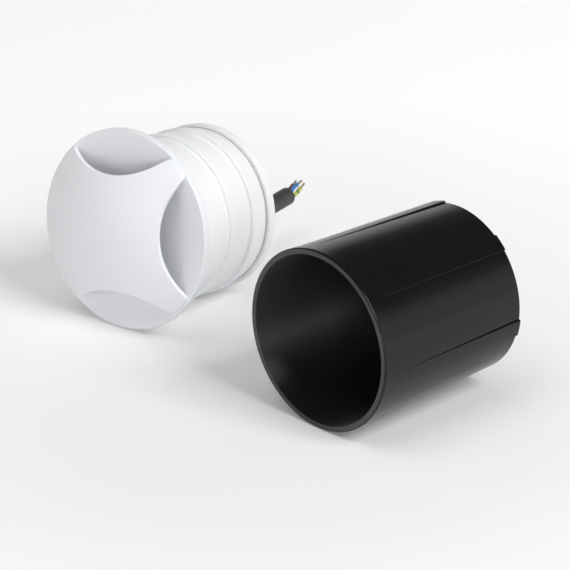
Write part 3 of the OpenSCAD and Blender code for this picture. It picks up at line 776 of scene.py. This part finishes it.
# %% [markdown]
# The sleeve is a thin drafted tube with a round rim at its mouth. The wall runs out to the rim without
# a step. Inside, the bore is straight where it takes the light, and then narrows to the base.

# %% Sleeve: tube
SLEEVE_R = 42.4
SLEEVE_LEN = 88
BORE_R = 39.6
BORE_LEN = 57
DEEP_R = 38
WALL_R = 42.1
REAR_R = 39.1
RIM_LEN = 1.1
RIM_BLEND = 8.6
BASE_T = 2.4
HOLE_R = 10

sleeve_bm = outline_chain(
    [(HOLE_R, SLEEVE_LEN - BASE_T), (DEEP_R, SLEEVE_LEN - BASE_T), (BORE_R, BORE_LEN), (BORE_R, 0),
     (SLEEVE_R, 0), (SLEEVE_R, RIM_LEN), (WALL_R - 0.2, RIM_BLEND), (REAR_R, SLEEVE_LEN),
     (HOLE_R, SLEEVE_LEN)],
    {1: 2, 2: 2, 3: 0.35, 4: 0.8, 5: 0.25, 7: 0.8})
spin_outline(sleeve_bm, 192)
print("tube's faces:", len(sleeve_bm.faces))

# %% [markdown]
# Six long pads grow out of the wall towards the rear, where they grip the hole in the wall. A pad is a
# short spun strip, tapered by its outline, and its edges are broken so that they catch a thin line of
# light. The bore and the base take the second finish, whose shine is stretched. A face belongs to them
# when all its corners lie within a cone that narrows to the rear as the wall does.

# %% Sleeve: pads and finish
PADS = 6
PAD_W = 8.8
PAD_FRONT = 3
PAD_REAR_R = 39.9
PAD_REAR = SLEEVE_LEN - 0.2
PAD_SUNK = 1.2
PAD_EDGE = 0.2
PAD_SHARP = 1
WALL_DRAFT = 0.0354
BORE_SIDE = 41.9

pad_half = PAD_W / 2 / SLEEVE_R
for k in range(PADS):
    pad = outline_chain([(WALL_R - PAD_SUNK, PAD_FRONT), (WALL_R - 0.02, PAD_FRONT),
                         (PAD_REAR_R, PAD_REAR), (REAR_R - PAD_SUNK, PAD_REAR)], {})
    bmesh.ops.contextual_create(pad, geom=pad.edges[:])
    bmesh.ops.rotate(pad, verts=pad.verts, cent=(0, 0, 0), matrix=Matrix.Rotation(-pad_half, 3, "Z"))
    bmesh.ops.spin(pad, geom=pad.verts[:] + pad.edges[:] + pad.faces[:], cent=(0, 0, 0), axis=(0, 0, 1),
                   angle=2 * pad_half, steps=10)
    bmesh.ops.recalc_face_normals(pad, faces=pad.faces)
    sharp = [e for e in pad.edges if len(e.link_faces) == 2 and e.calc_face_angle() > PAD_SHARP
             and max(math.hypot(v.co.x, v.co.y) for v in e.verts) > PAD_REAR_R - 0.1]
    soften(pad, sharp, PAD_EDGE, 3)
    join_into(sleeve_bm, pad, Matrix.Rotation(k * 2 * math.pi / PADS, 4, "Z"))

for face in sleeve_bm.faces:
    if all(math.hypot(v.co.x, v.co.y) + WALL_DRAFT * v.co.z < BORE_SIDE for v in face.verts):
        face.material_index = 1
sleeve = add_piece("wall_sleeve", sleeve_bm, sleeve_place, "black_plastic", "sleeve", ["sleeve"])
sleeve.data.materials.append(black_bore)

# %% [markdown]
# A rubber grommet lines the cable hole in the sleeve's base. It is turned, with round lips on both
# sides of the base.

# %% Grommet
GROMMET_IN = 4.7
GROMMET_NECK = 9.95
GROMMET_LIP_R = 11.6
GROMMET_Z = (84.05, 85.55, 88.05, 89.55)

grommet_bm = outline_chain(
    [(GROMMET_IN, GROMMET_Z[0]), (GROMMET_LIP_R, GROMMET_Z[0]), (GROMMET_LIP_R, GROMMET_Z[1]),
     (GROMMET_NECK, GROMMET_Z[1]), (GROMMET_NECK, GROMMET_Z[2]), (GROMMET_LIP_R, GROMMET_Z[2]),
     (GROMMET_LIP_R, GROMMET_Z[3]), (GROMMET_IN, GROMMET_Z[3])],
    {0: 0.5, 1: 0.5, 6: 0.6, 7: 0.5})
spin_outline(grommet_bm, 96)
add_piece("hole_grommet", grommet_bm, sleeve_place, "seal_rubber", "sleeve", ["sleeve_grommet"])

# %% [markdown]
# The housing is a can with barbed rings: each band narrows from one ring's land down to the next step.
# The lands keep a tight radius of a few tenths, which is what draws the bright line at each step. The
# whole can is one outline, inside and outside, so that its wall has a thickness all the way round.

# %% Housing
RING_R = 39.4
VALLEY_R = 37.4
MOUTH_R = 35.6
CHAMBER_R = 34.4
LEDGE_R = 31.4
LEDGE_Z = 13.2
SINK_Z = 15.2
FRONT_Z = 3.7
RING_2_Z = 28.7
RING_3_Z = 45.1
LAND = 2.2
HOUSING_Z = 56.7

housing_bm = outline_chain(
    [(MOUTH_R, FRONT_Z), (RING_R, FRONT_Z), (RING_R, FRONT_Z + 6), (VALLEY_R, RING_2_Z),
     (RING_R, RING_2_Z), (RING_R, RING_2_Z + LAND), (VALLEY_R, RING_3_Z), (RING_R, RING_3_Z),
     (RING_R, RING_3_Z + LAND), (VALLEY_R + 0.4, HOUSING_Z), (CHAMBER_R, HOUSING_Z),
     (CHAMBER_R, SINK_Z), (LEDGE_R, SINK_Z), (LEDGE_R, LEDGE_Z), (MOUTH_R, LEDGE_Z)],
    {1: 0.4, 2: 1.5, 3: 0.5, 4: 0.4, 5: 0.8, 6: 0.5, 7: 0.4, 8: 0.8, 9: 0.3})
spin_outline(housing_bm, 192)
print("can's faces:", len(housing_bm.faces))

# %% [markdown]
# Three posts stand inside, against the wall, and take the screws of the rear cap. A post is spun
# standing on the axis, with the screw's hole in its end, and then moved to its place.

# %% Housing: screw posts
BOSS_AT = 31.4
BOSS_R = 3.4
BOSS_LEN = 11
BOSS_ANGLES = (30, 150, 270)
HOLE_IN_BOSS = 1.55

post_z = HOUSING_Z - BOSS_LEN
for angle in BOSS_ANGLES:
    post = outline_chain([(HOLE_IN_BOSS, post_z + 1), (HOLE_IN_BOSS, HOUSING_Z), (BOSS_R, HOUSING_Z),
                          (BOSS_R, post_z), (0, post_z), (0, post_z + 1)], {2: 0.2, 3: 0.3},
                         closed=False)
    spin_outline(post, 32)
    join_into(housing_bm, post, Matrix.Translation(polar((0, 0, 0), BOSS_AT, math.radians(angle))))
add_piece("barbed_housing", housing_bm, light_place, "white_body", "light", ["housing"])

# %% [markdown]
# The rear cap closes the can with a plug that sits inside its wall. It is turned too, with a round
# shoulder at the back. Its front edge leaves a gap of a few tenths, where the gasket shows as a line.

# %% Rear cap
CAP_Z = 57.3
REAR_Z = 63.1
CAP_T = 2.8
PLUG_IN = 32.6
PLUG_R = 34.1
PLUG_LEN = 3

cap_bm = outline_chain(
    [(0, REAR_Z - CAP_T), (PLUG_IN, REAR_Z - CAP_T), (PLUG_IN, CAP_Z - PLUG_LEN),
     (PLUG_R, CAP_Z - PLUG_LEN), (PLUG_R, CAP_Z), (RING_R, CAP_Z), (RING_R, CAP_Z + LAND),
     (RING_R - 0.4, REAR_Z), (0, REAR_Z)],
    {3: 0.3, 5: 0.3, 7: 1.8}, closed=False)
spin_outline(cap_bm, 192)
add_piece("rear_shell", cap_bm, light_place, "white_body", "light", ["rear_cap"])

# %% [markdown]
# The gland's two hexagons grow ring by ring from one rounded six-sided loop, as the cover's floor does.
# The rings draw in a little at the top, which gives the nut its moulded crown, and then turn inwards
# and down again, so that each is hollow round the thread and closes round the cable.

# %% Gland: hexagon helpers
GLAND_HEX_R = 11
gland_place = light_place @ Matrix.Translation((0, GLAND_Y, 0))


def hexagon(radius, z, corner):
    """A six-sided loop of edges at depth z, its corners rounded."""
    bm = bmesh.new()
    bmesh.ops.create_circle(bm, segments=6, radius=radius)
    bmesh.ops.rotate(bm, verts=bm.verts, cent=(0, 0, 0), matrix=Matrix.Rotation(math.radians(90), 3, "Z"))
    bmesh.ops.bevel(bm, geom=bm.verts[:], offset=corner, offset_type="OFFSET", segments=4, profile=0.5,
                    affect="VERTICES", material=-1)
    for v in bm.verts:
        v.co.z = z
    return bm, bm.edges[:]


def raise_rings(bm, first, sides, circles):
    """Rings above the loop: sides are (share of the ring before, depth), circles are (radius, depth)."""
    loop = first
    for share, z in sides:
        loop = grow(bm, loop, to_share(share), z)
    for radius, z in circles:
        loop = grow(bm, loop, to_circle(radius), z)
    bmesh.ops.bridge_loops(bm, edges=first + loop)


print("gland's place:", [round(v, 4) for v in gland_place.translation])

# %% [markdown]
# The gland's body is a low hexagon with a threaded tube through it. The tube goes through the rear cap
# to the locknut inside, and outwards into the cap nut. Its thread is hidden, so it is left plain.

# %% Gland: body
BODY_TOP = 66.7
THREAD_R = 7.9
THREAD_IN = 6.35
THREAD_END = 71.7
THREAD_START = 52.3
BODY_BORE = 4.6
HEX_IN = 6.6

base_bm, first = hexagon(GLAND_HEX_R, REAR_Z, 0.6)
raise_rings(base_bm, first, ((1, BODY_TOP - 0.35), (0.985, BODY_TOP - 0.1), (0.98, BODY_TOP)),
            ((HEX_IN, BODY_TOP), (HEX_IN, REAR_Z)))
thread = outline_chain([(BODY_BORE, THREAD_START), (THREAD_R, THREAD_START), (THREAD_R, THREAD_END),
                        (THREAD_IN, THREAD_END), (THREAD_IN, REAR_Z + 1), (BODY_BORE, REAR_Z + 1)],
                       {1: 0.4, 2: 0.3})
spin_outline(thread, 64)
join_into(base_bm, thread)
add_piece("gland_base", base_bm, gland_place, "grey_nylon", "light", ["gland_body"])

# %% [markdown]
# The cap nut is the taller hexagon. Its crown draws in a little and then dips round the cable, and the
# shoulder inside is what squeezes the seal. It turns, so it is a piece of its own on its own body.

# %% Gland: cap nut
NUT_Z = 67
NUT_BORE = 8.1
SEAL_Z = 72.2
CLOSE_R = 4.5

nut_bm, first = hexagon(GLAND_HEX_R, NUT_Z, 0.8)
crown = ((1, 74.2), (0.985, 74.9), (0.965, 75.4), (0.955, 75.7), (0.95, GLAND_END_Z))
recess = ((6.4, GLAND_END_Z), (5.9, 75.6), (5.7, 75.1), (CLOSE_R, 75), (CLOSE_R, SEAL_Z))
raise_rings(nut_bm, first, crown, (*recess, (NUT_BORE, SEAL_Z), (NUT_BORE, NUT_Z)))
add_piece("gland_cap_nut", nut_bm, gland_place, "grey_nylon", "gland_nut", ["gland_nut"])
